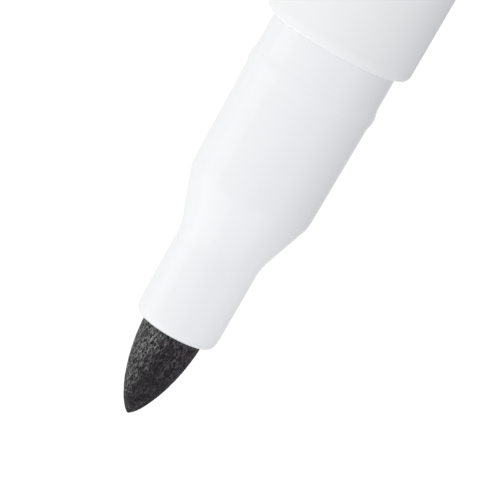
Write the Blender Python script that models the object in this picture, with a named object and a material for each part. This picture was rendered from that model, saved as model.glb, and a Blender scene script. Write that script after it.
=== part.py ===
"""Whiteboard marker in use: cap pushed on the tail, standing on the crown of the cap with the nib up.

The frame has its origin at the centre of the cap's crown, with +Z along the marker's axis towards the nib.
Each piece is modelled in its own frame, on the same axis, and placed under an empty: cap_frame for the cap,
and marker_frame, at the tail's seat face, for everything that is drawn out of the cap.
"""

import math

import bmesh
import bpy

MM = 0.001

# Overall sizes
BARREL_R = 7.5 * MM
BARREL_FRONT_R = 7.45 * MM
BORE_R = 6.42 * MM
BODY_LENGTH = 78.0 * MM  # seat face of the tail to the front rim of the barrel
NOSE_REACH = 30.77 * MM  # barrel rim to the end of the nose tube
NIB_REACH = 9.25 * MM  # end of the nose tube to the point of the nib
CAP_LENGTH = 46.0 * MM

# Clearances
SEAT_GAP = 0.3 * MM  # between the mouth of the cap and the tail's seat face
PARTING_GAP = 0.15 * MM  # between two mouldings that are pushed together
FIT_GAP = 0.06 * MM  # radial, between a tube and what is pressed into it

# Barrel
LIP_LENGTH = 1.06 * MM
FRONT_TAPER = 9.0 * MM
EDGE_BREAK = 0.2 * MM
RIB_PLAY = 0.4 * MM  # between the end of a rib and what it stops
LABEL_START = 10.0 * MM  # above the seat face
LABEL_LENGTH = 54.0 * MM
LABEL_RECESS = 0.13 * MM
LABEL_THICKNESS = 0.08 * MM
LABEL_GAP = 0.04 * MM
RIB_THICKNESS = 1.0 * MM
RIB_COUNT = 6
RIB_ROOT = 0.3 * MM  # how deep a rib runs into the wall that carries it

# Nose section, from the barrel's rim
SPIGOT_R = BORE_R - FIT_GAP
SPIGOT_LENGTH = 14.0 * MM
SPIGOT_STEP = 1.5 * MM
SECTION_REAR_R = 6.323 * MM
BEAD_HEIGHT = 0.186 * MM
BEAD_WIDTH = 2.5 * MM
BEAD_FROM_RIM = 4.4 * MM
SECTION_TAPER = 0.0141
SHOULDER_START = 16.09 * MM
SHOULDER_END = 21.67 * MM
SHOULDER_START_R = 6.20 * MM
SHOULDER_ANGLE = math.radians(19.5)
SHOULDER_REAR_FILLET = 3.9 * MM
SHOULDER_FRONT_FILLET = 5.2 * MM
NOSE_R = 4.195 * MM
NOSE_LIP_LENGTH = 2.0 * MM
NOSE_LIP_POWER = 3.5
SECTION_BORE_R = 5.45 * MM
NOSE_BORE_R = 3.6 * MM
NOSE_WALL = 0.8 * MM
NIB_LAND = 2.6 * MM  # length of the tight bore at the end of the nose tube
NIB_LAND_LEAD = 0.5 * MM
NIB_RIB_THICKNESS = 0.7 * MM

# Nib and reservoir
NIB_R = 3.0 * MM
NIB_POINT_POWER = 1.8
NIB_SIDE_POWER = 0.72
NIB_STEM = 29.2 * MM  # end of the nose tube to the rear end of the nib
NIB_TAIL_BEVEL = 0.6 * MM
RESERVOIR_R = 5.2 * MM
RESERVOIR_LENGTH = 75.0 * MM
RESERVOIR_FRONT = 14.3 * MM  # barrel rim to the front end of the reservoir
SOCKET_R = 3.06 * MM
FILM_THICKNESS = 0.1 * MM
FILM_GAP = 0.05 * MM

# Tail plug, from the seat face
POST_R = 6.33 * MM
POST_LENGTH = 13.0 * MM
POST_EDGE = 1.2 * MM
FLANGE_THICKNESS = 2.0 * MM
INSERT_LENGTH = 12.0 * MM
PLUG_BORE_R = 5.0 * MM
POST_FLOOR = 1.6 * MM
PLUG_RIB_THICKNESS = 0.9 * MM
PLUG_RIB_DEPTH = 1.8 * MM
PLUG_RIB_COUNT = 4

# Cap
CAP_CROWN_R = 7.3 * MM
CAP_BORE_R = 6.7 * MM
CAP_SNAP_R = 6.58 * MM
CAP_SNAP_FROM_MOUTH = 1.9 * MM
CAP_SNAP_WIDTH = 1.4 * MM
CAP_EDGE = 0.8 * MM
CAP_MOUTH_EDGE = 0.3 * MM
CROWN_WALL = 1.4 * MM
CROWN_HOLE_R = 5.2 * MM
FLUTE_COUNT = 24
FLUTE_DEPTH = 0.35 * MM
FLUTE_BOTTOM = 5.0 * MM
FLUTE_TOP = 27.0 * MM
FLUTE_RUN_OUT = 2.0 * MM
VENT_COUNT = 6
VENT_R = 0.6 * MM
VENT_CIRCLE_R = 5.95 * MM
DISC_THICKNESS = 1.2 * MM
DISC_PLUG_R = 3.55 * MM
DISC_PLUG_BORE_R = 2.6 * MM
DISC_PLUG_LENGTH = 2.0 * MM
INNER_FLANGE_R = 6.45 * MM
INNER_FLANGE_THICKNESS = 1.0 * MM
INNER_MOUTH = 23.1 * MM  # above the crown
INNER_SEAT = 15.0 * MM
INNER_FLOOR = 5.0 * MM
INNER_BORE_R = 4.27 * MM
INNER_WALL = 0.75 * MM
INNER_WELL_R = 3.5 * MM
INNER_LEAD = 0.4 * MM

# Facets around the axis
VISIBLE_STEPS = 48
HIDDEN_STEPS = 32
CAP_STEPS = 72  # three to each flute
DRILL_STEPS = 12

# Points along a curve of an outline
LIP_POINTS = 7
EDGE_POINTS = 4
FILLET_POINTS = 4
BEAD_POINTS = 6
NIB_POINTS = 14
NIB_POINT_CROWDING = 1.6  # above 1, the points of the nib's outline crowd towards its tip

ROUND = 2  # the power of a superellipse that is a plain ellipse
MERGE_DISTANCE = 0.001 * MM
SMOOTH_ANGLE = math.radians(35)


def clear_scene():
    for thing in list(bpy.data.objects):
        bpy.data.objects.remove(thing, do_unlink=True)


def material(name, colour, roughness):
    made = bpy.data.materials.new(name)
    made.use_nodes = True
    shader = made.node_tree.nodes["Principled BSDF"]
    shader.inputs["Base Color"].default_value = (*colour, 1.0)
    shader.inputs["Roughness"].default_value = roughness
    shader.inputs["Metallic"].default_value = 0.0
    return made


def object_of(name, bm, finish=None):
    """The bmesh as an object with outward normals, shaded smooth up to SMOOTH_ANGLE."""
    bmesh.ops.recalc_face_normals(bm, faces=bm.faces)
    mesh = bpy.data.meshes.new(name)
    bm.to_mesh(mesh)
    bm.free()
    if finish:
        mesh.materials.append(finish)
    mesh.shade_smooth()
    mesh.set_sharp_from_angle(angle=SMOOTH_ANGLE)
    made = bpy.data.objects.new(name, mesh)
    bpy.context.scene.collection.objects.link(made)
    return made


def spun(outline, steps, closed):
    """The outline, a list of (radius, height) points, spun once around Z."""
    bm = bmesh.new()
    points = [bm.verts.new((r, 0.0, z)) for r, z in outline]
    pairs = list(zip(points, points[1:] + points[:1]))
    if not closed:
        pairs.pop()
    edges = [bm.edges.new(pair) for pair in pairs]
    bmesh.ops.spin(
        bm,
        geom=points + edges,
        cent=(0.0, 0.0, 0.0),
        axis=(0.0, 0.0, 1.0),
        angle=math.tau,
        steps=steps,
        use_merge=True,
    )
    bmesh.ops.remove_doubles(bm, verts=bm.verts, dist=MERGE_DISTANCE)
    return bm


def ring(name, outline, steps, finish):
    """A turned piece with a hole right through it: its outline is a closed loop."""
    return object_of(name, spun(outline, steps, closed=True), finish)


def solid(name, outline, steps, finish):
    """A turned piece whose outline starts and ends on the axis."""
    return object_of(name, spun(outline, steps, closed=False), finish)


def radial_plates(name, outline, thickness, count):
    """Flat plates with a (radius, height) outline, standing on rays around Z. They are a Boolean's tool."""
    bm = bmesh.new()
    for index in range(count):
        angle = math.tau * index / count
        along = (math.cos(angle), math.sin(angle))
        across = (-along[1] * thickness / 2, along[0] * thickness / 2)
        sides = []
        for sign in (1, -1):
            side = [
                bm.verts.new((r * along[0] + sign * across[0], r * along[1] + sign * across[1], z))
                for r, z in outline
            ]
            bm.faces.new(side)
            sides.append(side)
        for start in range(len(outline)):
            end = (start + 1) % len(outline)
            bm.faces.new((sides[0][start], sides[0][end], sides[1][end], sides[1][start]))
    return object_of(name, bm)


def drill_bits(name, radius, circle_radius, bottom, top, count):
    """Upright cylinders on a circle around Z. They are a Boolean's tool."""
    bm = bmesh.new()
    for index in range(count):
        angle = math.tau * (index + 0.5) / count
        made = bmesh.ops.create_cone(
            bm, cap_ends=True, segments=DRILL_STEPS, radius1=radius, radius2=radius, depth=top - bottom
        )
        move = (circle_radius * math.cos(angle), circle_radius * math.sin(angle), (bottom + top) / 2)
        bmesh.ops.translate(bm, verts=made["verts"], vec=move)
    return object_of(name, bm)


def combine(target, tool, operation):
    """Adds a Boolean to the target, and hides its tool."""
    cut = target.modifiers.new(tool.name, "BOOLEAN")
    cut.operation = operation
    cut.object = tool
    cut.solver = "EXACT"
    tool.parent = target
    tool.hide_render = True
    tool.display_type = "WIRE"


def rounded_lip(inner_r, outer_r, length, power, steps):
    """From the inner edge, at height 0, back to the outer side, at minus length: a quarter superellipse."""
    points = []
    for step in range(steps + 1):
        back = 1 - math.cos(math.pi / 2 * step / steps)
        r = inner_r + (outer_r - inner_r) * (1 - (1 - back) ** power) ** (1 / power)
        points.append((r, -length * back))
    return points


def fillet(corner, angle_before, angle_after, radius, steps):
    """Points of the arc that rounds a corner. The angles are how far the sides lean out as they go up."""
    turn = angle_after - angle_before
    tangent = radius * math.tan(abs(turn) / 2)
    bend = math.copysign(radius, turn)
    start_r = corner[0] - tangent * math.sin(angle_before)
    start_z = corner[1] - tangent * math.cos(angle_before)
    points = []
    for step in range(steps + 1):
        lean = angle_before + turn * step / steps
        points.append(
            (
                start_r + bend * (math.cos(angle_before) - math.cos(lean)),
                start_z + bend * (math.sin(lean) - math.sin(angle_before)),
            )
        )
    return points


def bead(radius_below, radius_above, centre, height, width, steps):
    """A low rounded ring on a wall: a cosine bump from below its centre to above it."""
    points = []
    for step in range(steps + 1):
        share = step / steps
        r = radius_below + (radius_above - radius_below) * share
        bump = height * (1 - math.cos(math.tau * share)) / 2
        points.append((r + bump, centre + width * (share - 0.5)))
    return points


def barrel(finish):
    """Its frame is at the seat face of the tail."""
    tail = FLANGE_THICKNESS + PARTING_GAP
    label_bottom, label_top = LABEL_START, LABEL_START + LABEL_LENGTH
    panel_r = BARREL_R - LABEL_RECESS
    outline = [
        (BORE_R, BODY_LENGTH - LIP_LENGTH),
        (BORE_R, tail),
        (BARREL_R - EDGE_BREAK, tail),
        (BARREL_R, tail + EDGE_BREAK),
        (BARREL_R, label_bottom - LABEL_RECESS),
        (panel_r, label_bottom),
        (panel_r, label_top),
        (BARREL_R, label_top + LABEL_RECESS),
        (BARREL_R, BODY_LENGTH - FRONT_TAPER),
    ]
    lip = rounded_lip(BORE_R, BARREL_FRONT_R, LIP_LENGTH, ROUND, LIP_POINTS)
    outline += [(r, BODY_LENGTH + z) for r, z in reversed(lip)]
    made = ring("barrel", outline, VISIBLE_STEPS, finish)

    rib_bottom = tail + INSERT_LENGTH + RIB_PLAY
    rib_top = BODY_LENGTH - SPIGOT_LENGTH - RIB_PLAY
    rib_r = RESERVOIR_R + FILM_GAP + FILM_THICKNESS + FIT_GAP
    embedded_r = (BORE_R + panel_r) / 2
    rib_outline = [(rib_r, rib_bottom), (embedded_r, rib_bottom), (embedded_r, rib_top), (rib_r, rib_top)]
    combine(made, radial_plates("barrel_ribs", rib_outline, RIB_THICKNESS, RIB_COUNT), "UNION")
    return made


def section_outline():
    """Outer side of the nose section, from the inner edge of its end down to the barrel's rim."""
    nose_root_r = SHOULDER_START_R - (SHOULDER_END - SHOULDER_START) * math.tan(SHOULDER_ANGLE)
    taper = math.atan(SECTION_TAPER)
    nose_taper = math.atan((nose_root_r - NOSE_R) / (NOSE_REACH - NOSE_LIP_LENGTH - SHOULDER_END))
    lip = rounded_lip(NIB_R + FIT_GAP, NOSE_R, NOSE_LIP_LENGTH, NOSE_LIP_POWER, LIP_POINTS)
    points = [(r, NOSE_REACH + z) for r, z in lip]
    front_corner = (nose_root_r, SHOULDER_END)
    rear_corner = (SHOULDER_START_R, SHOULDER_START)
    front = fillet(front_corner, -SHOULDER_ANGLE, -nose_taper, SHOULDER_FRONT_FILLET, FILLET_POINTS)
    rear = fillet(rear_corner, -taper, -SHOULDER_ANGLE, SHOULDER_REAR_FILLET, FILLET_POINTS)
    points += reversed(front)
    points += reversed(rear)
    bead_front_r = SHOULDER_START_R + SECTION_TAPER * (SHOULDER_START - BEAD_FROM_RIM - BEAD_WIDTH / 2)
    ridge = bead(SECTION_REAR_R, bead_front_r, BEAD_FROM_RIM, BEAD_HEIGHT, BEAD_WIDTH, BEAD_POINTS)
    points += reversed(ridge)
    return points


def nose_section(finish):
    """Its frame is at the barrel's front rim."""
    shoulder_bore_top = SHOULDER_END - NOSE_WALL
    stop = RESERVOIR_FRONT + RIB_PLAY
    land = NOSE_REACH - NIB_LAND
    grip_r = NIB_R + FIT_GAP
    outline = section_outline() + [
        (SECTION_REAR_R, -SPIGOT_STEP),
        (SPIGOT_R, -SPIGOT_STEP - EDGE_BREAK),
        (SPIGOT_R, EDGE_BREAK - SPIGOT_LENGTH),
        (SPIGOT_R - EDGE_BREAK, -SPIGOT_LENGTH),
        (SECTION_BORE_R, -SPIGOT_LENGTH),
        (SECTION_BORE_R, SHOULDER_START),
        (NOSE_BORE_R, shoulder_bore_top),
        (NOSE_BORE_R, land),
        (grip_r, land + NIB_LAND_LEAD),
    ]
    made = ring("nose_section", outline, VISIBLE_STEPS, finish)

    rib_outline = [
        (grip_r, stop),
        (SECTION_BORE_R + RIB_ROOT, stop),
        (SECTION_BORE_R + RIB_ROOT, SHOULDER_START),
        (NOSE_BORE_R + RIB_ROOT, shoulder_bore_top),
        (NOSE_BORE_R + RIB_ROOT, land),
        (grip_r, land),
    ]
    combine(made, radial_plates("nose_ribs", rib_outline, NIB_RIB_THICKNESS, RIB_COUNT), "UNION")
    return made


def nib(finish):
    """Its frame is at the end of the nose tube."""
    outline = [(0.0, NIB_REACH)]
    for step in range(1, NIB_POINTS + 1):
        share = (step / NIB_POINTS) ** NIB_POINT_CROWDING
        r = NIB_R * (1 - (1 - share) ** NIB_POINT_POWER) ** NIB_SIDE_POWER
        outline.append((r, NIB_REACH * (1 - share)))
    outline += [(NIB_R, NIB_TAIL_BEVEL - NIB_STEM), (NIB_R - NIB_TAIL_BEVEL, -NIB_STEM), (0.0, -NIB_STEM)]
    return solid("nib", outline, HIDDEN_STEPS, finish)


def reservoir_core(finish):
    """Its frame is at its rear end. The nib's stem goes into the socket in its front end."""
    nib_tail = RESERVOIR_LENGTH - RESERVOIR_FRONT + NOSE_REACH - NIB_STEM
    socket_floor = nib_tail - SEAT_GAP
    outline = [
        (0.0, 0.0),
        (RESERVOIR_R, 0.0),
        (RESERVOIR_R, RESERVOIR_LENGTH),
        (SOCKET_R, RESERVOIR_LENGTH),
        (SOCKET_R, socket_floor),
        (0.0, socket_floor),
    ]
    return solid("reservoir_core", outline, HIDDEN_STEPS, finish)


def reservoir_film(finish):
    """Its frame is at the reservoir's rear end."""
    inner_r = RESERVOIR_R + FILM_GAP
    outer_r = inner_r + FILM_THICKNESS
    outline = [(inner_r, 0.0), (outer_r, 0.0), (outer_r, RESERVOIR_LENGTH), (inner_r, RESERVOIR_LENGTH)]
    return ring("reservoir_film", outline, HIDDEN_STEPS, finish)


def label_sleeve(finish):
    """Its frame is at the seat face of the tail."""
    bottom = LABEL_START + PARTING_GAP
    top = LABEL_START + LABEL_LENGTH - PARTING_GAP
    inner_r = BARREL_R - LABEL_RECESS + LABEL_GAP
    outer_r = inner_r + LABEL_THICKNESS
    outline = [(inner_r, bottom), (outer_r, bottom), (outer_r, top), (inner_r, top)]
    return ring("label_sleeve", outline, VISIBLE_STEPS, finish)


def tail_plug(finish):
    """Its frame is at its seat face, where the cap's mouth stops: the post is below it, the insert above."""
    top = FLANGE_THICKNESS + INSERT_LENGTH
    post_edge = rounded_lip(POST_R - POST_EDGE, POST_R, POST_EDGE, ROUND, EDGE_POINTS)
    ridge = bead(POST_R, POST_R, -BEAD_FROM_RIM, BEAD_HEIGHT, BEAD_WIDTH, BEAD_POINTS)
    outline = [(0.0, -POST_LENGTH)]
    outline += [(r, -POST_LENGTH - z) for r, z in post_edge]
    outline += ridge
    outline += [
        (POST_R, 0.0),
        (BARREL_R - EDGE_BREAK, 0.0),
        (BARREL_R, EDGE_BREAK),
        (BARREL_R, FLANGE_THICKNESS),
        (SPIGOT_R, FLANGE_THICKNESS),
        (SPIGOT_R, top - EDGE_BREAK),
        (SPIGOT_R - EDGE_BREAK, top),
        (PLUG_BORE_R, top),
        (PLUG_BORE_R, POST_FLOOR - POST_LENGTH),
        (0.0, POST_FLOOR - POST_LENGTH),
    ]
    made = solid("tail_plug", outline, VISIBLE_STEPS, finish)

    rib_bottom = POST_FLOOR / 2 - POST_LENGTH
    rib_inner_r = PLUG_BORE_R - PLUG_RIB_DEPTH
    rib_outer_r = PLUG_BORE_R + RIB_ROOT
    rib_top = top - EDGE_BREAK
    rib_outline = [
        (rib_inner_r, rib_bottom),
        (rib_outer_r, rib_bottom),
        (rib_outer_r, rib_top),
        (rib_inner_r, rib_top),
    ]
    combine(made, radial_plates("plug_ribs", rib_outline, PLUG_RIB_THICKNESS, PLUG_RIB_COUNT), "UNION")
    return made


def cap_shell(finish):
    """Its frame is at the centre of the crown."""
    snap_centre = CAP_LENGTH - CAP_SNAP_FROM_MOUTH
    snap = bead(CAP_BORE_R, CAP_BORE_R, snap_centre, CAP_SNAP_R - CAP_BORE_R, CAP_SNAP_WIDTH, EDGE_POINTS)
    corner = rounded_lip(CAP_CROWN_R - CAP_EDGE, CAP_CROWN_R, CAP_EDGE, ROUND, EDGE_POINTS)
    outline = [(CROWN_HOLE_R, 0.0)]
    outline += [(r, -z) for r, z in corner]
    side_top = CAP_LENGTH - CAP_MOUTH_EDGE
    heights = (FLUTE_BOTTOM, FLUTE_BOTTOM + FLUTE_RUN_OUT, FLUTE_TOP - FLUTE_RUN_OUT, FLUTE_TOP)
    for z in (*heights, side_top):
        outline.append((CAP_CROWN_R + (BARREL_R - CAP_CROWN_R) * (z - CAP_EDGE) / (side_top - CAP_EDGE), z))
    outline += [(BARREL_R - CAP_MOUTH_EDGE, CAP_LENGTH), (CAP_BORE_R + CAP_MOUTH_EDGE / 2, CAP_LENGTH)]
    outline += reversed(snap)
    outline += [(CAP_BORE_R, CROWN_WALL), (CROWN_HOLE_R, CROWN_WALL)]

    bm = spun(outline, CAP_STEPS, closed=True)
    steps_each = CAP_STEPS // FLUTE_COUNT
    for point in bm.verts:
        radius = math.hypot(point.co.x, point.co.y)
        fluted = FLUTE_BOTTOM + MERGE_DISTANCE < point.co.z < FLUTE_TOP - MERGE_DISTANCE
        if not fluted or radius < (CAP_BORE_R + CAP_CROWN_R) / 2:
            continue
        step = round(math.atan2(point.co.y, point.co.x) / math.tau * CAP_STEPS)
        if step % steps_each == 0:
            point.co.xy *= (radius - FLUTE_DEPTH) / radius
    made = object_of("cap_shell", bm, finish)
    vents = drill_bits("crown_vents", VENT_R, VENT_CIRCLE_R, -CROWN_WALL, 2 * CROWN_WALL, VENT_COUNT)
    combine(made, vents, "DIFFERENCE")
    return made


def inner_cap(finish):
    """Its frame is at the centre of the crown. The nose tube seats in its bore when the cap is on the nib."""
    bottom = CROWN_WALL + PARTING_GAP
    socket_top = bottom + DISC_PLUG_LENGTH + PARTING_GAP
    socket_r = DISC_PLUG_R + FIT_GAP
    outer_r = INNER_BORE_R + INNER_WALL
    outline = [
        (0.0, socket_top),
        (socket_r, socket_top),
        (socket_r, bottom),
        (INNER_FLANGE_R, bottom),
        (INNER_FLANGE_R, bottom + INNER_FLANGE_THICKNESS),
        (outer_r, bottom + INNER_FLANGE_THICKNESS),
        (outer_r, INNER_MOUTH),
        (INNER_BORE_R + INNER_LEAD, INNER_MOUTH),
        (INNER_BORE_R, INNER_MOUTH - 2 * INNER_LEAD),
        (INNER_BORE_R, INNER_SEAT),
        (INNER_WELL_R, INNER_SEAT - INNER_LEAD),
        (INNER_WELL_R, INNER_FLOOR),
        (0.0, INNER_FLOOR),
    ]
    made = solid("inner_cap", outline, HIDDEN_STEPS, finish)

    notch_r = VENT_CIRCLE_R - VENT_R
    above = bottom + 2 * INNER_FLANGE_THICKNESS
    notch_outline = [(notch_r, 0.0), (CAP_BORE_R, 0.0), (CAP_BORE_R, above), (notch_r, above)]
    notches = radial_plates("flange_notches", notch_outline, 2 * VENT_R, VENT_COUNT)
    notches.rotation_euler.z = math.pi / VENT_COUNT
    combine(made, notches, "DIFFERENCE")
    return made


def crown_disc(finish):
    """Its frame is at the centre of the crown."""
    disc_r = CROWN_HOLE_R - FIT_GAP
    plug_top = CROWN_WALL + PARTING_GAP + DISC_PLUG_LENGTH
    outline = [
        (0.0, 0.0),
        (disc_r, 0.0),
        (disc_r, DISC_THICKNESS),
        (DISC_PLUG_R, DISC_THICKNESS),
        (DISC_PLUG_R, plug_top),
        (DISC_PLUG_BORE_R, plug_top),
        (DISC_PLUG_BORE_R, DISC_THICKNESS),
        (0.0, DISC_THICKNESS),
    ]
    return solid("crown_disc", outline, HIDDEN_STEPS, finish)


def frame_empty(name, height):
    made = bpy.data.objects.new(name, None)
    bpy.context.scene.collection.objects.link(made)
    made.location.z = height
    return made


def place(piece, frame, height=0.0):
    piece.parent = frame
    piece.location.z = height


def build():
    clear_scene()
    barrel_white = material("barrel_white", (0.86, 0.86, 0.85), 0.38)
    section_white = material("section_white", (0.85, 0.87, 0.90), 0.18)
    nib_black = material("nib_black", (0.035, 0.032, 0.038), 0.85)
    core_fibre = material("core_fibre", (0.05, 0.05, 0.06), 0.95)
    film_clear = material("film_clear", (0.78, 0.80, 0.82), 0.25)
    label_white = material("label_white", (0.88, 0.88, 0.88), 0.22)
    plug_black = material("plug_black", (0.025, 0.025, 0.028), 0.35)
    cap_black = material("cap_black", (0.022, 0.022, 0.025), 0.30)
    liner_natural = material("liner_natural", (0.80, 0.80, 0.77), 0.45)
    disc_black = material("disc_black", (0.03, 0.03, 0.033), 0.40)

    cap_frame = frame_empty("cap_frame", 0.0)
    place(cap_shell(cap_black), cap_frame)
    place(inner_cap(liner_natural), cap_frame)
    place(crown_disc(disc_black), cap_frame)

    marker_frame = frame_empty("marker_frame", CAP_LENGTH + SEAT_GAP)
    reservoir_rear = BODY_LENGTH + RESERVOIR_FRONT - RESERVOIR_LENGTH
    place(tail_plug(plug_black), marker_frame)
    place(barrel(barrel_white), marker_frame)
    place(label_sleeve(label_white), marker_frame)
    place(reservoir_core(core_fibre), marker_frame, reservoir_rear)
    place(reservoir_film(film_clear), marker_frame, reservoir_rear)
    place(nose_section(section_white), marker_frame, BODY_LENGTH)
    place(nib(nib_black), marker_frame, BODY_LENGTH + NOSE_REACH)


build()
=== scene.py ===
"""Looks of the whiteboard marker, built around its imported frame.

The marker stands on the crown of its cap, nib up, along +Z. The pieces that show are finely turned meshes
that stand for their CAD nodes. The crown disc and the pieces inside keep their CAD nodes. Every piece has a
procedural material.
"""

import math

import bmesh
import bpy
import numpy as np
from mathutils import Matrix, Vector, noise


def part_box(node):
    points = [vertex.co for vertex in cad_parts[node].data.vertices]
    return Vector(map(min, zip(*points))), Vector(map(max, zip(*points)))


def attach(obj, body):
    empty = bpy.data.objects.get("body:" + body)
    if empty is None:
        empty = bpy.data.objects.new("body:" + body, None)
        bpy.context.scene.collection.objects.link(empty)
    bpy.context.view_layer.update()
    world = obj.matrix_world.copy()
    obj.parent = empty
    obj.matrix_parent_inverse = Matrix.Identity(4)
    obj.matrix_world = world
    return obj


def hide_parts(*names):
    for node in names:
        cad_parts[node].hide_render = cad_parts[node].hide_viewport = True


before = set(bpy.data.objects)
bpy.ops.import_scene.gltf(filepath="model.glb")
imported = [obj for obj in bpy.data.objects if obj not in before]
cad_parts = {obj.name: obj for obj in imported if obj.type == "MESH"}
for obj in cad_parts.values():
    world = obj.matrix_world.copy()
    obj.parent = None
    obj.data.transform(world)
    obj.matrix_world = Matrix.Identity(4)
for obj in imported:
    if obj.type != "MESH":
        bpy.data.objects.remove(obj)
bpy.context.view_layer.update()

MM = 0.001

# Heights and radii that the frame gives
CROWN_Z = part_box("crown_disc")[0].z
CAP_TOP_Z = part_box("cap_shell")[1].z
CAP_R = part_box("cap_shell")[1].x
POST_END_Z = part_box("tail_plug")[0].z
PLUG_TOP_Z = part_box("tail_plug")[1].z
BARREL_TAIL_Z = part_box("barrel")[0].z
RIM_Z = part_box("barrel")[1].z
BARREL_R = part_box("barrel")[1].x
LABEL_BOTTOM_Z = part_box("label_sleeve")[0].z
LABEL_TOP_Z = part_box("label_sleeve")[1].z
LABEL_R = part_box("label_sleeve")[1].x
SPIGOT_END_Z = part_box("nose_section")[0].z
NOSE_END_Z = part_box("nose_section")[1].z
NIB_TAIL_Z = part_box("nib")[0].z
TIP_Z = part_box("nib")[1].z
NIB_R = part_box("nib")[1].x

# Shapes that the frame's boxes don't show
SEAT_Z = POST_END_Z + 13.0 * MM
BORE_R = 6.42 * MM
FIT_GAP = 0.06 * MM
FRONT_R = 7.45 * MM
FRONT_TAPER = 9.0 * MM
LIP_LENGTH = 1.06 * MM
LIP_POWER = 2.2
LIP_INNER_R = 6.52 * MM
LABEL_RECESS = 0.13 * MM
LABEL_THICKNESS = 0.08 * MM
LABEL_MARGIN = 0.15 * MM
SECTION_REAR_R = 6.323 * MM
SECTION_TAPER = 0.0141
SHOULDER_START_Z = RIM_Z + 16.09 * MM
SHOULDER_END_Z = RIM_Z + 21.67 * MM
SHOULDER_START_R = 6.20 * MM
SHOULDER_ANGLE = math.radians(19.5)
SHOULDER_REAR_FILLET = 3.9 * MM
SHOULDER_FRONT_FILLET = 5.2 * MM
NOSE_R = 4.195 * MM
NOSE_LIP_LENGTH = 2.0 * MM
NOSE_LIP_POWER = 3.8
BEAD_HEIGHT = 0.186 * MM
BEAD_WIDTH = 2.5 * MM
BEAD_FROM_RIM = 4.4 * MM
SECTION_BORE_R = 5.45 * MM
NIB_POINT_POWER = 1.8
NIB_SIDE_POWER = 0.72
POST_R = 6.33 * MM
PLUG_BORE_R = 5.0 * MM
CAP_CROWN_R = 7.3 * MM
CAP_BORE_R = 6.7 * MM
CAP_SNAP_R = 6.58 * MM
CROWN_HOLE_R = 5.2 * MM
CROWN_WALL = 1.4 * MM
FLUTE_COUNT = 24
FLUTE_DEPTH = 0.35 * MM
FLUTE_BOTTOM_Z = 5.0 * MM
FLUTE_TOP_Z = 27.0 * MM
FLUTE_RUN_OUT = 2.0 * MM
VENT_COUNT = 6
VENT_R = 0.6 * MM
VENT_CIRCLE_R = 5.95 * MM

TURNED_STEPS = 256
CAP_STEPS = 12 * FLUTE_COUNT
SHARP_ANGLE = math.radians(50)

# Lights hang this far from the marker's axis
LIGHT_DISTANCE = 0.40


# ---------------------------------------------------------------- outlines


def rounded_lip(inner_r, outer_r, length, power=2.0, steps=24):
    """From the inner edge, at height 0, back to the outer side, at minus length: a quarter superellipse."""
    points = []
    for step in range(steps + 1):
        back = 1 - math.cos(math.pi / 2 * step / steps)
        r = inner_r + (outer_r - inner_r) * (1 - (1 - back) ** power) ** (1 / power)
        points.append((r, -length * back))
    return points


def fillet(corner, angle_before, angle_after, radius, steps=16):
    """Points of the arc that rounds a corner. The angles are how far the sides lean out as they go up."""
    turn = angle_after - angle_before
    tangent = radius * math.tan(abs(turn) / 2)
    bend = math.copysign(radius, turn)
    start_r = corner[0] - tangent * math.sin(angle_before)
    start_z = corner[1] - tangent * math.cos(angle_before)
    points = []
    for step in range(steps + 1):
        lean = angle_before + turn * step / steps
        points.append(
            (
                start_r + bend * (math.cos(angle_before) - math.cos(lean)),
                start_z + bend * (math.sin(lean) - math.sin(angle_before)),
            )
        )
    return points


def bead(radius_below, radius_above, centre, height, width, steps=24):
    """A low rounded ring on a wall: a cosine bump from below its centre to above it."""
    points = []
    for step in range(steps + 1):
        share = step / steps
        r = radius_below + (radius_above - radius_below) * share
        bump = height * (1 - math.cos(math.tau * share)) / 2
        points.append((r + bump, centre + width * (share - 0.5)))
    return points


def raised(points, height):
    return [(r, height + z) for r, z in points]


def divided(outline, longest):
    """The outline with its long straight stretches divided."""
    points = [outline[0]]
    for start, end in zip(outline, outline[1:]):
        length = math.dist(start, end)
        parts = max(1, math.ceil(length / longest))
        for part in range(1, parts + 1):
            share = part / parts
            points.append((start[0] + (end[0] - start[0]) * share, start[1] + (end[1] - start[1]) * share))
    return points


def smoothstep(low, high, value):
    share = np.clip((value - low) / (high - low), 0.0, 1.0)
    return share * share * (3 - 2 * share)


# ---------------------------------------------------------------- meshes


def turned(name, outline, steps=TURNED_STEPS, closed=True, relief=None):
    """The outline turned around Z. Closed, it's a loop; if not, it starts and ends on the axis.

    relief(angle, radius, height) gives how far each point moves outwards, and its grids have a row for each
    point of the outline and a column for each step.
    """
    radii, heights = np.array(outline).T
    angles = np.arange(steps) * math.tau / steps
    angle, radius = np.meshgrid(angles, radii)
    height = np.repeat(heights[:, None], steps, axis=1)
    if relief:
        radius = radius + relief(angle, radius, height)
    points = np.stack([radius * np.cos(angle), radius * np.sin(angle), height], axis=-1)

    bm = bmesh.new()
    rows = []
    for row, r in zip(points, radii):
        if r < 1e-9:
            rows.append([bm.verts.new(row[0])] * steps)
        else:
            rows.append([bm.verts.new(co) for co in row])
    pairs = list(zip(rows, rows[1:]))
    if closed:
        pairs.append((rows[-1], rows[0]))
    for low, high in pairs:
        for here in range(steps):
            after = (here + 1) % steps
            corners = dict.fromkeys((low[here], low[after], high[after], high[here]))
            bm.faces.new(list(corners))
    bmesh.ops.recalc_face_normals(bm, faces=bm.faces)
    mesh = bpy.data.meshes.new(name)
    bm.to_mesh(mesh)
    bm.free()
    mesh.shade_smooth()
    mesh.set_sharp_from_angle(angle=SHARP_ANGLE)
    made = bpy.data.objects.new(name, mesh)
    bpy.context.scene.collection.objects.link(made)
    return made


def stand_for(piece, node, body, finish):
    piece.data.materials.append(finish)
    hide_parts(node)
    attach(piece, body)


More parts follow.
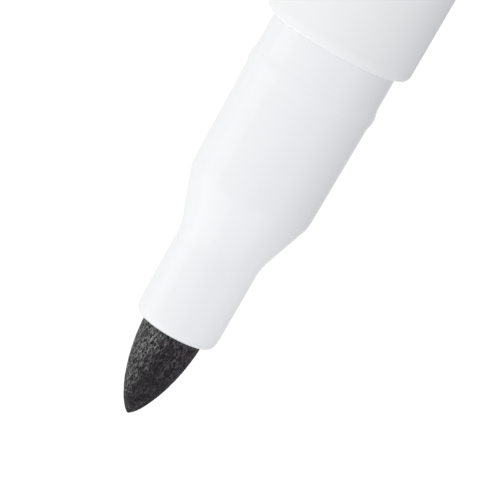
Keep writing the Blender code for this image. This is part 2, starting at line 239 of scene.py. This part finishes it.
def nose_section_mesh():
    """Glossy moulding: rounded nose tube, filleted shoulder, grip section with its bead, and spigot."""
    nose_root_r = SHOULDER_START_R - (SHOULDER_END_Z - SHOULDER_START_Z) * math.tan(SHOULDER_ANGLE)
    nose_rise = NOSE_END_Z - NOSE_LIP_LENGTH - SHOULDER_END_Z
    nose_taper = math.atan((nose_root_r - NOSE_R) / nose_rise)
    section_taper = math.atan(SECTION_TAPER)
    bead_z = RIM_Z + BEAD_FROM_RIM
    bead_front_r = SHOULDER_START_R + SECTION_TAPER * (SHOULDER_START_Z - bead_z - BEAD_WIDTH / 2)
    front_corner = (nose_root_r, SHOULDER_END_Z)
    rear_corner = (SHOULDER_START_R, SHOULDER_START_Z)

    outline = raised(rounded_lip(NIB_R + FIT_GAP, NOSE_R, NOSE_LIP_LENGTH, NOSE_LIP_POWER), NOSE_END_Z)
    outline += reversed(fillet(front_corner, -SHOULDER_ANGLE, -nose_taper, SHOULDER_FRONT_FILLET))
    outline += reversed(fillet(rear_corner, -section_taper, -SHOULDER_ANGLE, SHOULDER_REAR_FILLET))
    outline += reversed(bead(SECTION_REAR_R, bead_front_r, bead_z, BEAD_HEIGHT, BEAD_WIDTH))
    spigot_r = BORE_R - FIT_GAP
    outline += [
        (SECTION_REAR_R, RIM_Z - 1.5 * MM),
        (spigot_r, RIM_Z - 1.7 * MM),
        (spigot_r, SPIGOT_END_Z + 0.2 * MM),
        (spigot_r - 0.2 * MM, SPIGOT_END_Z),
        (SECTION_BORE_R, SPIGOT_END_Z),
        (SECTION_BORE_R, SHOULDER_START_Z),
        (NIB_R + 0.6 * MM, SHOULDER_END_Z - 0.8 * MM),
        (NIB_R + 0.6 * MM, NOSE_END_Z - 2.6 * MM),
        (NIB_R + FIT_GAP, NOSE_END_Z - 2.1 * MM),
    ]
    return turned("nose_section_moulding", divided(outline, 1.0 * MM))


def barrel_mesh():
    """Satin tube with a fully rounded front lip and a shallow panel for the label."""
    panel_r = BARREL_R - LABEL_RECESS
    panel_bottom = LABEL_BOTTOM_Z - LABEL_MARGIN
    panel_top = LABEL_TOP_Z + LABEL_MARGIN
    edge = 0.2 * MM
    seat_r = SECTION_REAR_R + 0.01 * MM
    seat_fillet = LIP_INNER_R - seat_r
    seat_steps = 6
    outline = []
    for step in range(seat_steps + 1):
        turn = math.pi / 2 * step / seat_steps
        away = seat_fillet * (1 - math.cos(turn))
        up = seat_fillet * (1 - math.sin(turn))
        outline.append((seat_r + away, RIM_Z + up))
    outline += raised(rounded_lip(LIP_INNER_R, FRONT_R, LIP_LENGTH, LIP_POWER), RIM_Z)[1:]
    outline += [
        (BARREL_R, RIM_Z - FRONT_TAPER),
        (BARREL_R, panel_top + LABEL_RECESS),
        (panel_r, panel_top),
        (panel_r, panel_bottom),
        (BARREL_R, panel_bottom - LABEL_RECESS),
        (BARREL_R, BARREL_TAIL_Z + edge),
        (BARREL_R - 0.3 * edge, BARREL_TAIL_Z + 0.3 * edge),
        (BARREL_R - edge, BARREL_TAIL_Z),
        (BORE_R, BARREL_TAIL_Z),
        (BORE_R, RIM_Z - LIP_LENGTH),
    ]
    return turned("barrel_tube", divided(outline, 2.0 * MM))


def label_mesh():
    """Printed film around the barrel, with the low step where its end laps over its start."""
    lap_width, rise_width, fall_width = 0.35, 0.02, 0.25  # as angles around the barrel
    lap_height = 0.03 * MM
    inner_r = LABEL_R - LABEL_THICKNESS

    def lap(angle, radius, height):
        outer = radius > inner_r + LABEL_THICKNESS / 2
        rise = smoothstep(0.0, rise_width, angle)
        fall = 1 - smoothstep(lap_width, lap_width + fall_width, angle)
        return np.where(outer, lap_height * rise * fall, 0.0)

    outline = [(inner_r, LABEL_BOTTOM_Z), (LABEL_R, LABEL_BOTTOM_Z)]
    outline += [(LABEL_R, LABEL_TOP_Z), (inner_r, LABEL_TOP_Z)]
    return turned("label_film", divided(outline, 2.0 * MM), relief=lap)


def fibre_relief(angle, radius, height):
    """Strands of fibre that run along the nib, pits between them, and a point worn slightly to -X."""
    relief = np.zeros_like(radius)
    x = radius * np.cos(angle)
    y = radius * np.sin(angle)
    across, along, strand_height = 0.13 * MM, 0.42 * MM, 0.022 * MM
    pit_size, pit_depth, pit_share = 0.22 * MM, 0.16 * MM, 0.28
    lowest, highest = -0.09 * MM, 0.05 * MM
    outwards = 0.03 * MM
    smooth_r, wear_depth, wear_length = 0.9 * MM, 0.05 * MM, 3.0 * MM
    for index in np.ndindex(radius.shape):
        if height[index] < NOSE_END_Z - 0.5 * MM:
            continue
        strand = Vector((x[index] / across, y[index] / across, height[index] / along))
        grain = Vector((x[index], y[index], height[index])) / pit_size
        strands = noise.fractal(strand, 0.9, 2.0, 3)
        pits = max(0.0, noise.noise(grain + Vector((7.3, 1.9, 4.1))) - pit_share)
        relief[index] = strand_height * strands - pit_depth * pits
    fade = smoothstep(0.0, smooth_r, radius)
    wear = wear_depth * (1 - smoothstep(0.0, wear_length, TIP_Z - height))
    return (np.clip(relief, lowest, highest) + outwards) * fade - wear * np.cos(angle)


def nib_mesh():
    """Bullet nib of pressed fibre, with its stem."""
    reach = TIP_Z - NOSE_END_Z
    outline = [(0.0, TIP_Z)]
    steps = 170
    for step in range(1, steps + 1):
        share = (step / steps) ** 1.25
        r = NIB_R * (1 - (1 - share) ** NIB_POINT_POWER) ** NIB_SIDE_POWER
        outline.append((r, TIP_Z - reach * share))
    bevel = 0.6 * MM
    outline += [(NIB_R, NOSE_END_Z - 1.0 * MM), (NIB_R, NIB_TAIL_Z + bevel), (NIB_R - bevel, NIB_TAIL_Z)]
    outline.append((0.0, NIB_TAIL_Z))
    return turned("nib_fibre", outline, steps=400, closed=False, relief=fibre_relief)


def tail_plug_mesh():
    """Black plug: insert in the barrel, flange, and the post that the cap is pushed on, with its bead."""
    post_edge = 1.2 * MM
    edge = 0.2 * MM
    flange_top = BARREL_TAIL_Z - 0.15 * MM
    insert_r = BORE_R - FIT_GAP
    outline = [(0.0, POST_END_Z)]
    outline += [(r, POST_END_Z - z) for r, z in rounded_lip(POST_R - post_edge, POST_R, post_edge)]
    outline += bead(POST_R, POST_R, SEAT_Z - BEAD_FROM_RIM, BEAD_HEIGHT, BEAD_WIDTH)
    outline += [(POST_R, SEAT_Z)]
    outline += [(r, SEAT_Z - z) for r, z in rounded_lip(CAP_R - edge, CAP_R, edge, steps=5)]
    outline += raised(reversed(rounded_lip(CAP_R - edge / 2, CAP_R, edge / 2, steps=5)), flange_top)
    outline += [
        (insert_r, flange_top),
        (insert_r, PLUG_TOP_Z - edge),
        (insert_r - edge, PLUG_TOP_Z),
        (PLUG_BORE_R, PLUG_TOP_Z),
        (PLUG_BORE_R, POST_END_Z + 1.6 * MM),
        (0.0, POST_END_Z + 1.6 * MM),
    ]
    return turned("tail_plug_moulding", divided(outline, 1.0 * MM), closed=False)


def cap_mesh():
    """Cap with grip flutes on its closed half, a snap rib inside its mouth and vents around its crown."""
    edge, mouth_edge = 0.8 * MM, 0.3 * MM
    snap_z, snap_width = CAP_TOP_Z - 1.9 * MM, 1.4 * MM
    outline = [(CROWN_HOLE_R, CROWN_Z)]
    outline += [(r, CROWN_Z - z) for r, z in rounded_lip(CAP_CROWN_R - edge, CAP_CROWN_R, edge)]
    side = [(CAP_CROWN_R, CROWN_Z + edge), (CAP_R, CAP_TOP_Z - mouth_edge)]
    outline += divided(side, 0.4 * MM)[1:]
    outline += raised(rounded_lip(CAP_R - mouth_edge, CAP_R, mouth_edge, steps=8)[::-1], CAP_TOP_Z)
    outline += [(CAP_BORE_R + mouth_edge / 2, CAP_TOP_Z), (CAP_BORE_R, CAP_TOP_Z - mouth_edge)]
    outline += reversed(bead(CAP_BORE_R, CAP_BORE_R, snap_z, CAP_SNAP_R - CAP_BORE_R, snap_width))
    outline += [(CAP_BORE_R, CROWN_Z + CROWN_WALL), (CROWN_HOLE_R, CROWN_Z + CROWN_WALL)]

    def flutes(angle, radius, height):
        outside = radius > (CAP_BORE_R + CAP_CROWN_R) / 2
        widening = 0.2
        groove = np.clip(np.cos(angle * FLUTE_COUNT) + widening, 0.0, None) / (1 + widening)
        rise = smoothstep(FLUTE_BOTTOM_Z, FLUTE_BOTTOM_Z + FLUTE_RUN_OUT, height)
        fall = 1 - smoothstep(FLUTE_TOP_Z - FLUTE_RUN_OUT, FLUTE_TOP_Z, height)
        return np.where(outside, -FLUTE_DEPTH * np.sqrt(groove) * rise * fall, 0.0)

    made = turned("cap_moulding", outline, steps=CAP_STEPS, relief=flutes)
    bm = bmesh.new()
    for index in range(VENT_COUNT):
        turn = math.tau * (index + 0.5) / VENT_COUNT
        drill = bmesh.ops.create_cone(
            bm, cap_ends=True, segments=32, radius1=VENT_R, radius2=VENT_R, depth=4 * CROWN_WALL
        )
        place = Vector((VENT_CIRCLE_R * math.cos(turn), VENT_CIRCLE_R * math.sin(turn), CROWN_Z))
        bmesh.ops.translate(bm, verts=drill["verts"], vec=place)
    mesh = bpy.data.meshes.new("vent_drills")
    bm.to_mesh(mesh)
    bm.free()
    drills = bpy.data.objects.new("vent_drills", mesh)
    bpy.context.scene.collection.objects.link(drills)
    cut = made.modifiers.new("vents", "BOOLEAN")
    cut.operation = "DIFFERENCE"
    cut.object = drills
    bpy.context.view_layer.update()
    graph = bpy.context.evaluated_depsgraph_get()
    result = bpy.data.meshes.new_from_object(made.evaluated_get(graph))
    made.modifiers.clear()
    made.data = result
    bpy.data.objects.remove(drills)
    return made


# ---------------------------------------------------------------- materials


class Finish:
    """A Principled material with procedural colour, roughness and relief, in the piece's coordinates."""

    def __init__(self, name, roughness, specular=0.5):
        self.material = bpy.data.materials.new(name)
        self.material.use_nodes = True
        self.nodes = self.material.node_tree.nodes
        self.links = self.material.node_tree.links
        self.shader = self.nodes["Principled BSDF"]
        self.shader.inputs["Roughness"].default_value = roughness
        self.shader.inputs["Specular IOR Level"].default_value = specular
        self.place = self.nodes.new("ShaderNodeTexCoord").outputs["Object"]
        self.normal = None

    def set(self, **values):
        for name, value in values.items():
            self.shader.inputs[name.replace("_", " ")].default_value = value
        return self

    def math(self, operation, first, second=0.0, clamp=False):
        node = self.nodes.new("ShaderNodeMath")
        node.operation = operation
        node.use_clamp = clamp
        for socket, value in zip(node.inputs, (first, second)):
            if isinstance(value, (int, float)):
                socket.default_value = value
            else:
                self.links.new(value, socket)
        return node.outputs[0]

    def noise(self, size, detail=3.0, stretch=(1.0, 1.0, 1.0), roughness=0.5, wander=0.0):
        """Noise whose features are about size long, times stretch along each axis."""
        scaled = self.nodes.new("ShaderNodeMapping")
        scaled.inputs["Scale"].default_value = [1 / (size * part) for part in stretch]
        self.links.new(self.place, scaled.inputs["Vector"])
        node = self.nodes.new("ShaderNodeTexNoise")
        node.inputs["Scale"].default_value = 1.0
        node.inputs["Detail"].default_value = detail
        node.inputs["Roughness"].default_value = roughness
        node.inputs["Distortion"].default_value = wander
        self.links.new(scaled.outputs[0], node.inputs["Vector"])
        return node.outputs["Fac"]

    def ramp(self, value, stops, smooth=False):
        node = self.nodes.new("ShaderNodeValToRGB")
        node.color_ramp.interpolation = "EASE" if smooth else "LINEAR"
        elements = node.color_ramp.elements
        while len(elements) < len(stops):
            elements.new(0.5)
        for element, (position, colour) in zip(elements, stops):
            element.position = position
            element.color = (*colour, 1.0)
        self.links.new(value, node.inputs["Fac"])
        return node.outputs["Color"]

    def mix(self, share, first, second):
        node = self.nodes.new("ShaderNodeMix")
        node.data_type = "RGBA"
        for socket, value in ((node.inputs[0], share), (node.inputs[6], first), (node.inputs[7], second)):
            if isinstance(value, tuple):
                socket.default_value = (*value, 1.0)
            else:
                self.links.new(value, socket)
        return node.outputs[2]

    def axis(self, name):
        node = self.nodes.new("ShaderNodeSeparateXYZ")
        self.links.new(self.place, node.inputs[0])
        return node.outputs[name]

    def way(self, name, start, end, clamp=True):
        """How far a point is along an axis: 0 at start, 1 at end."""
        gone = self.math("SUBTRACT", self.axis(name), start)
        return self.math("MULTIPLY", gone, 1 / (end - start), clamp=clamp)

    def colour(self, value):
        if isinstance(value, tuple):
            self.shader.inputs["Base Color"].default_value = (*value, 1.0)
        else:
            self.links.new(value, self.shader.inputs["Base Color"])
        return self

    def vary_roughness(self, value, low, high, layer="Roughness"):
        node = self.nodes.new("ShaderNodeMapRange")
        node.inputs["To Min"].default_value = low
        node.inputs["To Max"].default_value = high
        self.links.new(value, node.inputs["Value"])
        self.links.new(node.outputs[0], self.shader.inputs[layer])
        return self

    def bump(self, value, depth, layer="Normal"):
        """Relief of that depth, in metres, on top of any relief added before."""
        node = self.nodes.new("ShaderNodeBump")
        node.inputs["Distance"].default_value = depth
        self.links.new(value, node.inputs["Height"])
        if self.normal is not None:
            self.links.new(self.normal, node.inputs["Normal"])
        self.normal = node.outputs[0]
        self.links.new(self.normal, self.shader.inputs[layer])
        return self

    def even_out(self, low, high, edge):
        """Light that scatters inside the plastic hardly shows a low ring. Between two heights the base
        follows the round wall, and only the coat follows the ring."""
        above = self.way("Z", low, low + edge)
        below = self.way("Z", high, high - edge)
        flat = self.nodes.new("ShaderNodeVectorMath")
        flat.operation = "MULTIPLY"
        self.links.new(self.place, flat.inputs[0])
        flat.inputs[1].default_value = (1.0, 1.0, 0.0)
        radial = self.nodes.new("ShaderNodeVectorMath")
        radial.operation = "NORMALIZE"
        self.links.new(flat.outputs[0], radial.inputs[0])
        blend = self.nodes.new("ShaderNodeMix")
        blend.data_type = "VECTOR"
        self.links.new(self.math("MULTIPLY", above, below), blend.inputs[0])
        self.links.new(self.nodes.new("ShaderNodeNewGeometry").outputs["Normal"], blend.inputs[4])
        self.links.new(radial.outputs[0], blend.inputs[5])
        unit = self.nodes.new("ShaderNodeVectorMath")
        unit.operation = "NORMALIZE"
        self.links.new(blend.outputs[1], unit.inputs[0])
        self.links.new(unit.outputs[0], self.shader.inputs["Normal"])
        return self


def tinted(colour, share):
    return tuple(channel * share for channel in colour)


def glossy_white():
    """Polished polypropylene, faintly bluish, with the slight waviness of a moulded wall. On the ring the
    base follows the round wall, and the ring's sides are painted paler: painted light that hides their shade."""
    colour = (0.862, 0.871, 0.889)
    ring_z = RIM_Z + BEAD_FROM_RIM
    made = Finish("polished_white", 0.5, specular=0.0)
    made.set(Coat_Weight=1.0, Coat_IOR=1.5)
    wall = made.ramp(made.noise(4.0 * MM), [(0.3, tinted(colour, 0.992)), (0.7, colour)])
    # Painted light: the ring's sides are painted 2.2% paler, to cancel the shade they get.
    from_ring = made.math("ABSOLUTE", made.math("SUBTRACT", made.axis("Z"), ring_z))
    from_ring = made.math("MULTIPLY", from_ring, 2 / BEAD_WIDTH, clamp=True)
    painted_slope_light = made.math("MULTIPLY", from_ring, made.math("SUBTRACT", 1.0, from_ring))
    made.colour(made.mix(made.math("MULTIPLY", painted_slope_light, 4.0), wall, tinted(colour, 1.022)))
    made.vary_roughness(made.noise(0.5 * MM), 0.01, 0.03, layer="Coat Roughness")
    made.bump(made.noise(2.2 * MM, detail=2.0, stretch=(1.0, 1.0, 2.5)), 0.0015 * MM, layer="Coat Normal")
    made.even_out(ring_z - 0.6 * BEAD_WIDTH, ring_z + 0.6 * BEAD_WIDTH, 0.1 * BEAD_WIDTH)
    return made.material


def satin_white():
    """Barrel plastic with a fine matt grain. Its lip is painted a little paler, a painted highlight of the
    light from the tip side.
    """
    colour, lip = (0.862, 0.870, 0.879), (0.925, 0.930, 0.936)
    made = Finish("satin_white", 0.45, specular=0.12)
    tube = made.ramp(made.noise(5.0 * MM), [(0.3, tinted(colour, 0.99)), (0.7, colour)])
    # Painted highlight: the lip's last half millimetre is painted paler, up to the lip colour at the rim.
    painted_lip_light = made.way("Z", RIM_Z - 0.5 * MM, RIM_Z)
    made.colour(made.mix(made.math("POWER", painted_lip_light, 2.0), tube, lip))
    made.vary_roughness(made.noise(0.4 * MM), 0.42, 0.5)
    made.bump(made.noise(0.16 * MM, detail=2.0), 0.0012 * MM)
    return made.material


def pressed_fibre():
    """Black ink in pressed fibre, greyer in random patches and at the worn point, violet black elsewhere. It
    is also painted greyer on +X and violet black on -X: painted light and painted shade of the key light.
    """
    made = Finish("pressed_fibre", 0.6, specular=0.2)
    strands = made.noise(0.17 * MM, detail=3.0, stretch=(1.0, 1.0, 2.2), roughness=0.6, wander=0.6)
    specks = made.noise(0.15 * MM, detail=2.0, stretch=(1.0, 1.0, 1.5), roughness=0.6)
    patches = made.noise(1.6 * MM, detail=2.0)
    # Painted light and shade: this X term paints the fibre greyer on +X, the key side, and violet black on
    # -X, the shaded side.
    key_side_light = made.way("X", 0.0, 3.0 * MM, clamp=False)
    backwards = made.way("Z", NOSE_END_Z + 2.4 * MM, NOSE_END_Z - 13.6 * MM, clamp=False)
    worn = made.math("MULTIPLY", made.way("Z", TIP_Z - 2.2 * MM, TIP_Z), 0.4)
    dryness_and_key_light = made.math("ADD", made.math("ADD", key_side_light, backwards), made.math("ADD", patches, worn))
    dried_and_lit_share = made.ramp(dryness_and_key_light, [(0.38, (0.0, 0.0, 0.0)), (1.0, (1.0, 1.0, 1.0))], smooth=True)
    hollow = made.mix(dried_and_lit_share, (0.008, 0.0068, 0.008), (0.004, 0.0038, 0.004))
    clumps = made.noise(0.5 * MM, detail=1.0, stretch=(1.0, 1.0, 1.8))
    haze = made.noise(0.9 * MM, detail=2.0, stretch=(1.0, 1.0, 1.6))
    wet_and_shaded_tip = made.ramp(haze, [(0.36, (0.027, 0.024, 0.027)), (0.64, (0.090, 0.079, 0.090))])
    wet_and_shaded_root = made.ramp(haze, [(0.36, (0.045, 0.039, 0.046)), (0.64, (0.154, 0.133, 0.155))])
    wet_and_shaded = made.mix(made.way("Z", NOSE_END_Z + 3.4 * MM, NOSE_END_Z), wet_and_shaded_tip, wet_and_shaded_root)
    dry_and_lit = made.ramp(clumps, [(0.35, (0.175, 0.171, 0.172)), (0.65, (0.300, 0.293, 0.295))])
    strand = made.mix(dried_and_lit_share, wet_and_shaded, dry_and_lit)
    share = made.ramp(strands, [(0.44, (0.0, 0.0, 0.0)), (0.64, (1.0, 1.0, 1.0))])
    made.colour(made.mix(share, hollow, strand))
    made.vary_roughness(specks, 0.8, 0.45)
    made.bump(strands, 0.10 * MM)
    made.bump(specks, 0.06 * MM)
    return made.material


def glossy_black(name, colour, low, high):
    """Cap plastic: polished, with faint handling marks that only show in its shine."""
    made = Finish(name, low)
    marks = made.noise(0.7 * MM, detail=5.0, stretch=(1.0, 1.0, 4.0), roughness=0.6)
    darker, paler = tinted(colour, 0.85), tinted(colour, 1.15)
    made.colour(made.ramp(made.noise(3.0 * MM), [(0.35, darker), (0.65, paler)]))
    made.vary_roughness(marks, low, high)
    made.bump(made.noise(2.5 * MM, detail=1.0, stretch=(1.0, 1.0, 3.0)), 0.002 * MM)
    return made.material


def printed_film():
    """White film with plain bands in the ink colour. It carries no lettering."""
    white, ink, grey = (0.87, 0.88, 0.885), (0.020, 0.020, 0.023), (0.42, 0.43, 0.45)
    made = Finish("printed_film", 0.22)
    height = made.axis("Z")
    colour = made.ramp(made.noise(6.0 * MM), [(0.3, tinted(white, 0.992)), (0.7, white)])
    bands = (
        (LABEL_BOTTOM_Z, LABEL_BOTTOM_Z + 9.0 * MM, ink),
        (LABEL_BOTTOM_Z + 10.0 * MM, LABEL_BOTTOM_Z + 10.7 * MM, ink),
        (LABEL_TOP_Z - 3.2 * MM, LABEL_TOP_Z - 2.6 * MM, ink),
        (LABEL_TOP_Z - 4.6 * MM, LABEL_TOP_Z - 4.3 * MM, grey),
    )
    for low, high, tone in bands:
        above = made.math("GREATER_THAN", height, low)
        below = made.math("LESS_THAN", height, high)
        colour = made.mix(made.math("MULTIPLY", above, below), colour, tone)
    made.colour(colour)
    made.vary_roughness(made.noise(0.6 * MM), 0.18, 0.28)
    made.bump(made.noise(3.0 * MM, detail=2.0), 0.006 * MM)
    return made.material


def waxy_liner():
    made = Finish("waxy_liner", 0.45)
    made.colour(made.ramp(made.noise(2.0 * MM), [(0.3, (0.76, 0.76, 0.73)), (0.7, (0.81, 0.81, 0.78))]))
    made.bump(made.noise(0.3 * MM), 0.003 * MM)
    return made.material


def soaked_fibre():
    made = Finish("soaked_fibre", 0.9)
    strands = made.noise(0.2 * MM, detail=4.0, stretch=(1.0, 1.0, 12.0))
    made.colour(made.ramp(strands, [(0.35, (0.02, 0.02, 0.025)), (0.7, (0.09, 0.09, 0.10))]))
    made.bump(strands, 0.05 * MM)
    return made.material


def thin_film():
    made = Finish("thin_film", 0.25)
    made.colour(made.ramp(made.noise(3.0 * MM), [(0.3, (0.75, 0.77, 0.79)), (0.7, (0.80, 0.82, 0.84))]))
    made.bump(made.noise(1.5 * MM, stretch=(1.0, 1.0, 5.0)), 0.004 * MM)
    return made.material


# ---------------------------------------------------------------- the marker

plug_gloss = glossy_black("plug_gloss", (0.016, 0.016, 0.018), 0.2, 0.3)
cap_gloss = glossy_black("cap_gloss", (0.014, 0.014, 0.016), 0.16, 0.22)

stand_for(nose_section_mesh(), "nose_section", "marker", glossy_white())
stand_for(barrel_mesh(), "barrel", "marker", satin_white())
stand_for(label_mesh(), "label_sleeve", "marker", printed_film())
stand_for(nib_mesh(), "nib", "marker", pressed_fibre())
stand_for(tail_plug_mesh(), "tail_plug", "marker", plug_gloss)
stand_for(cap_mesh(), "cap_shell", "cap", cap_gloss)

CAD_FINISHES = {
    "crown_disc": glossy_black("disc_satin", (0.026, 0.026, 0.029), 0.38, 0.5),
    "inner_cap": waxy_liner(),
    "reservoir_core": soaked_fibre(),
    "reservoir_film": thin_film(),
}
for node, finish in CAD_FINISHES.items():
    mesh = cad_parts[node].data
    mesh.materials.clear()
    mesh.materials.append(finish)


# ---------------------------------------------------------------- studio


def studio_world():
    """White behind the marker, and a soft surround that is darker on the far side than on the key side."""
    world = bpy.data.worlds.new("studio")
    bpy.context.scene.world = world
    world.use_nodes = True
    nodes, links = world.node_tree.nodes, world.node_tree.links
    nodes.clear()
    place = nodes.new("ShaderNodeTexCoord").outputs["Generated"]
    around = nodes.new("ShaderNodeTexGradient")
    around.gradient_type = "RADIAL"
    links.new(place, around.inputs["Vector"])
    ramp = nodes.new("ShaderNodeValToRGB")
    # at every eighth of a turn, from the far side (-X) past the camera (-Y), the key side (+X) and behind
    levels = (0.29, 0.935, 1.0, 0.88, 1.07, 0.91, 0.87, 0.44, 0.29)
    blues = (1.04, 1.02, 1.00, 1.00, 0.985, 0.985, 1.00, 1.04, 1.04)
    while len(ramp.color_ramp.elements) < len(levels):
        ramp.color_ramp.elements.new(0.5)
    for index, (element, level, blue) in enumerate(zip(ramp.color_ramp.elements, levels, blues)):
        element.position = index / (len(levels) - 1)
        element.color = (level, level, level * blue, 1.0)
    links.new(around.outputs["Fac"], ramp.inputs["Fac"])
    surround = nodes.new("ShaderNodeBackground")
    links.new(ramp.outputs["Color"], surround.inputs["Color"])
    backdrop = nodes.new("ShaderNodeBackground")
    backdrop.inputs["Color"].default_value = (1.0, 1.0, 1.0, 1.0)
    backdrop.inputs["Strength"].default_value = 1.05
    mixed = nodes.new("ShaderNodeMixShader")
    links.new(nodes.new("ShaderNodeLightPath").outputs["Is Camera Ray"], mixed.inputs[0])
    links.new(surround.outputs[0], mixed.inputs[1])
    links.new(backdrop.outputs[0], mixed.inputs[2])
    links.new(mixed.outputs[0], nodes.new("ShaderNodeOutputWorld").inputs["Surface"])


def hang(name, data, aim_z, turn, rise, distance):
    """Hangs a light or a sheet that looks at the axis. turn is measured from the camera's side (-Y) to +X."""
    away = Vector((math.sin(turn) * math.cos(rise), -math.cos(turn) * math.cos(rise), math.sin(rise)))
    made = bpy.data.objects.new(name, data)
    made.location = Vector((0.0, 0.0, aim_z)) + away * distance
    made.rotation_mode = "QUATERNION"
    made.rotation_quaternion = away.to_track_quat("Z", "Y")
    made.visible_camera = False
    bpy.context.scene.collection.objects.link(made)
    return made


def softbox(name, turn, rise, width, height, watts):
    """A rectangular light that looks at the shoulder."""
    light = bpy.data.lights.new(name, "AREA")
    light.shape = "RECTANGLE"
    light.size = width
    light.size_y = height
    light.energy = watts
    hang(name, light, SHOULDER_START_Z, turn, rise, LIGHT_DISTANCE)


def snoot(name, aim_z, turn, distance, beam, watts):
    """A beam that fills in the shadow side and leaves no reflection of its own."""
    light = bpy.data.lights.new(name, "SPOT")
    light.spot_size = 2 * math.atan(beam / 2 / distance)
    light.spot_blend = 1.0
    light.shadow_soft_size = 1.0 * MM
    light.energy = watts
    hang(name, light, aim_z, turn, 0.0, distance).visible_glossy = False


def strip_reflection(name, turn, low, high, width, radiance):
    """A tall narrow bright sheet that only shows as a reflection, for the shine of the cap."""
    glow = bpy.data.materials.new(name)
    glow.use_nodes = True
    nodes = glow.node_tree.nodes
    emission = nodes.new("ShaderNodeEmission")
    emission.inputs["Strength"].default_value = radiance
    glow.node_tree.links.new(emission.outputs[0], nodes["Material Output"].inputs["Surface"])
    glow.cycles.emission_sampling = "NONE"
    half_width, half_height = width / 2, (high - low) / 2
    corners = [(-half_width, -half_height, 0.0), (half_width, -half_height, 0.0)]
    corners += [(half_width, half_height, 0.0), (-half_width, half_height, 0.0)]
    mesh = bpy.data.meshes.new(name)
    mesh.from_pydata(corners, [], [range(4)])
    mesh.materials.append(glow)
    sheet = hang(name, mesh, (low + high) / 2, turn, 0.0, LIGHT_DISTANCE)
    sheet.visible_diffuse = False
    sheet.visible_shadow = False


def pale_floor():
    """A round floor that fades into the backdrop away from the marker."""
    floor_r, solid_until, clear_from = 3.0, 0.03, 0.12
    gap_below_cap = 0.05 * MM
    bm = bmesh.new()
    bmesh.ops.create_circle(bm, cap_ends=True, radius=floor_r, segments=96)
    mesh = bpy.data.meshes.new("floor")
    bm.to_mesh(mesh)
    bm.free()
    floor = bpy.data.objects.new("floor", mesh)
    floor.location.z = CROWN_Z - gap_below_cap
    bpy.context.scene.collection.objects.link(floor)
    paint = bpy.data.materials.new("pale_floor")
    paint.use_nodes = True
    nodes, links = paint.node_tree.nodes, paint.node_tree.links
    shader = nodes["Principled BSDF"]
    shader.inputs["Base Color"].default_value = (0.93, 0.93, 0.935, 1.0)
    shader.inputs["Roughness"].default_value = 0.6
    length = nodes.new("ShaderNodeVectorMath")
    length.operation = "LENGTH"
    links.new(nodes.new("ShaderNodeTexCoord").outputs["Object"], length.inputs[0])
    fade = nodes.new("ShaderNodeMapRange")
    fade.interpolation_type = "SMOOTHSTEP"
    fade.inputs["From Min"].default_value = solid_until
    fade.inputs["From Max"].default_value = clear_from
    links.new(length.outputs["Value"], fade.inputs["Value"])
    clear = nodes.new("ShaderNodeBsdfTransparent")
    mixed = nodes.new("ShaderNodeMixShader")
    links.new(fade.outputs[0], mixed.inputs[0])
    links.new(shader.outputs[0], mixed.inputs[1])
    links.new(clear.outputs[0], mixed.inputs[2])
    links.new(mixed.outputs[0], nodes["Material Output"].inputs["Surface"])
    mesh.materials.append(paint)


def close_up_camera():
    """Looks at the nose from the front and a little below, rolled so that the nib points down and left."""
    lens, sensor = 188.6, 36.0
    distance = 243.9 * MM
    lean = math.radians(10.7)  # of the marker, from the picture plane
    slant = math.radians(60.3)  # of the marker's picture, from the horizontal
    aside = 2.5 * MM  # from the marker's axis to the middle of the picture
    behind_tip = 19.42 * MM  # from the tip of the nib to the middle of the picture
    target = Vector((0.0, 0.0, TIP_Z - behind_tip))

    # three directions as the camera sees them: from nib to tail, from the axis to the camera, and across
    along = Vector((math.cos(slant), math.sin(slant), 0.0))
    near = Vector((0.0, 0.0, 1.0))
    tailward = along * math.cos(lean) + near * math.sin(lean)
    nearward = near * math.cos(lean) - along * math.sin(lean)
    seen = Matrix((tailward, nearward, tailward.cross(nearward))).transposed()
    # and the same three in the world
    tail_world, near_world = Vector((0.0, 0.0, -1.0)), Vector((0.0, -1.0, 0.0))
    world = Matrix((tail_world, near_world, tail_world.cross(near_world))).transposed()
    turn = world @ seen.transposed()

    across = Vector((math.sin(slant), -math.cos(slant), 0.0))
    offset = Vector((0.0, 0.0, distance)) + across * aside
    camera = bpy.data.cameras.new("close_up")
    camera.lens = lens
    camera.sensor_width = sensor
    camera.clip_start, camera.clip_end = 0.01, 10.0
    made = bpy.data.objects.new("close_up", camera)
    made.matrix_world = Matrix.Translation(target + turn @ offset) @ turn.to_4x4()
    bpy.context.scene.collection.objects.link(made)
    bpy.context.scene.camera = made


studio_world()
softbox("key_softbox", math.radians(80.5), math.radians(14.0), 0.28, 0.275, 0.09)
softbox("top_softbox", math.radians(66.0), math.radians(54.0), 0.40, 0.307, 0.132)
snoot("nose_fill", NOSE_END_Z - 5.5 * MM, math.radians(-102.0), 0.06, 0.0225, 0.0195)
softbox("high_softbox", math.radians(-40.0), math.radians(58.0), 0.35, 0.35, 0.09)
snoot("far_fill", NOSE_END_Z - 8.0 * MM, math.radians(-90.0), 0.045, 0.12, 0.0066)
strip_reflection("cap_strip_key", math.radians(105.0), -0.25, 0.01, 0.10, 3.0)
strip_reflection("cap_strip_far", math.radians(-70.0), -0.25, 0.01, 0.08, 2.2)
pale_floor()
close_up_camera()
bpy.context.scene.view_settings.view_transform = "Standard"
